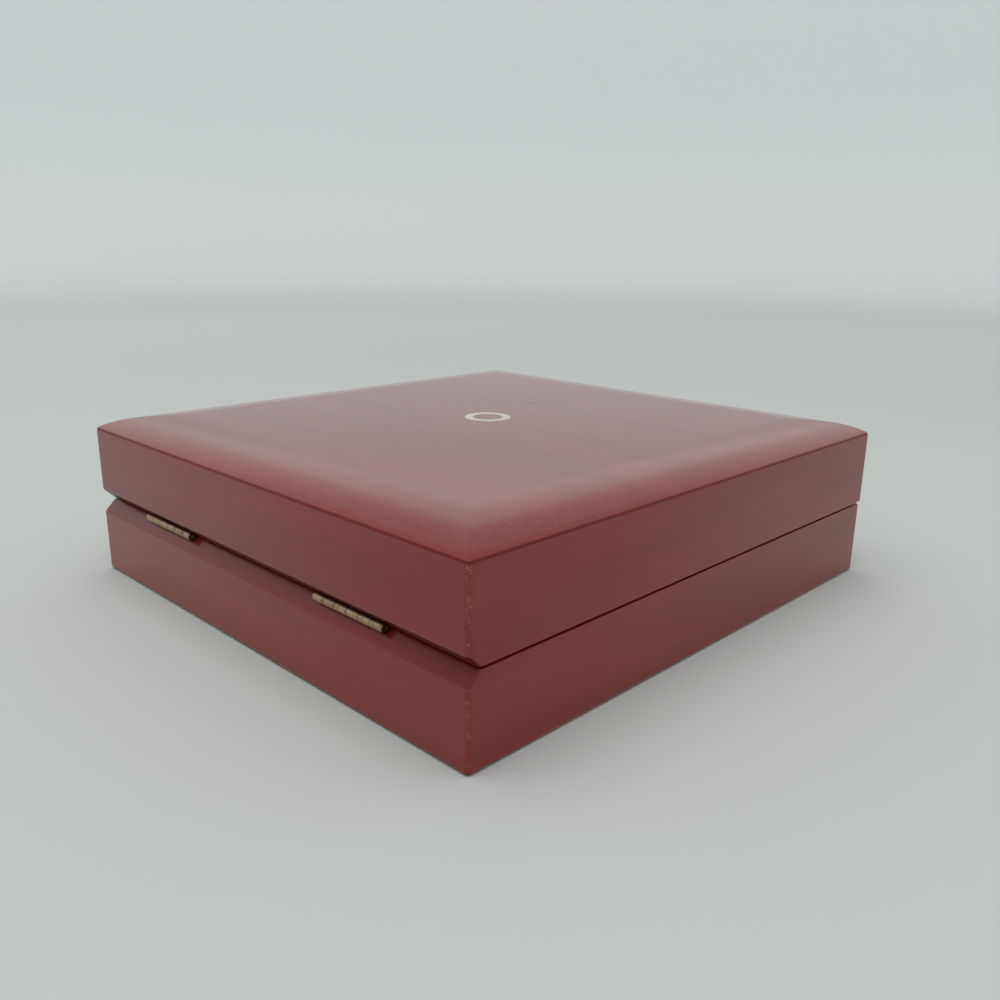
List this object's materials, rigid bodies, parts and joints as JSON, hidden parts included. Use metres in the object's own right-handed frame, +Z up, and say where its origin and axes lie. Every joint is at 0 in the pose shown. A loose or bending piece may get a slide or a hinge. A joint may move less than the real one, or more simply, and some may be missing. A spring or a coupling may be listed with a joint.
{
  "type": "ring display box",
  "caption": "Low, nearly square wooden display box for rings, with a crowned hinged lid, brass butt hinges and a lined tray of padded rolls inside.",
  "frame": {"origin": "on the table, under the middle of the closed box", "axes": "+Z up, hinged back at +Y, front at -Y, +X to the right seen from the front"},
  "size_m": [0.2, 0.2092, 0.0599],
  "materials": {
    "lacquered_veneer": "satin lacquer over red mahogany stain",
    "floor_board": "plain board",
    "underside_felt": "flocked felt",
    "lining_cloth": "napped lining cloth",
    "roll_velvet": "velvet",
    "inlay_wood": "satin lacquer over pale maple",
    "lid_satin": "satin cloth",
    "brass_pins_and_screws": "aged brass",
    "hinge_brass": "lightly tarnished brass"
  },
  "bodies": {
    "base": {"base_wall_front": "lacquered_veneer", "base_wall_back": "lacquered_veneer", "base_wall_left": "lacquered_veneer", "base_wall_right": "lacquered_veneer", "base_floor": "floor_board", "base_felt": "underside_felt", "liner_front": "lining_cloth", "liner_back": "lining_cloth", "liner_left": "lining_cloth", "liner_right": "lining_cloth", "tray_board": "lining_cloth", "ring_roll_1": "roll_velvet", "ring_roll_2": "roll_velvet", "ring_roll_3": "roll_velvet", "ring_roll_4": "roll_velvet", "ring_roll_5": "roll_velvet", "ring_roll_6": "roll_velvet", "ring_roll_7": "roll_velvet", "hinge_base_leaf_left": "hinge_brass", "hinge_base_leaf_right": "hinge_brass", "hinge_pin_left": "brass_pins_and_screws", "hinge_pin_right": "brass_pins_and_screws", "hinge_base_screws": "brass_pins_and_screws"},
    "lid": {"lid_wall_front": "lacquered_veneer", "lid_wall_back": "lacquered_veneer", "lid_wall_left": "lacquered_veneer", "lid_wall_right": "lacquered_veneer", "lid_top": "lacquered_veneer", "lid_inlay": "inlay_wood", "lid_pad": "lid_satin", "hinge_lid_leaf_left": "hinge_brass", "hinge_lid_leaf_right": "hinge_brass", "hinge_lid_screws": "brass_pins_and_screws"}
  },
  "joints": [
    {"name": "lid_hinge", "type": "hinge", "parent": "base", "child": "lid", "pos_m": [0, 0.1021, 0.0274], "axis": [-1, 0, 0], "range_deg": [0, 115]}
  ]
}
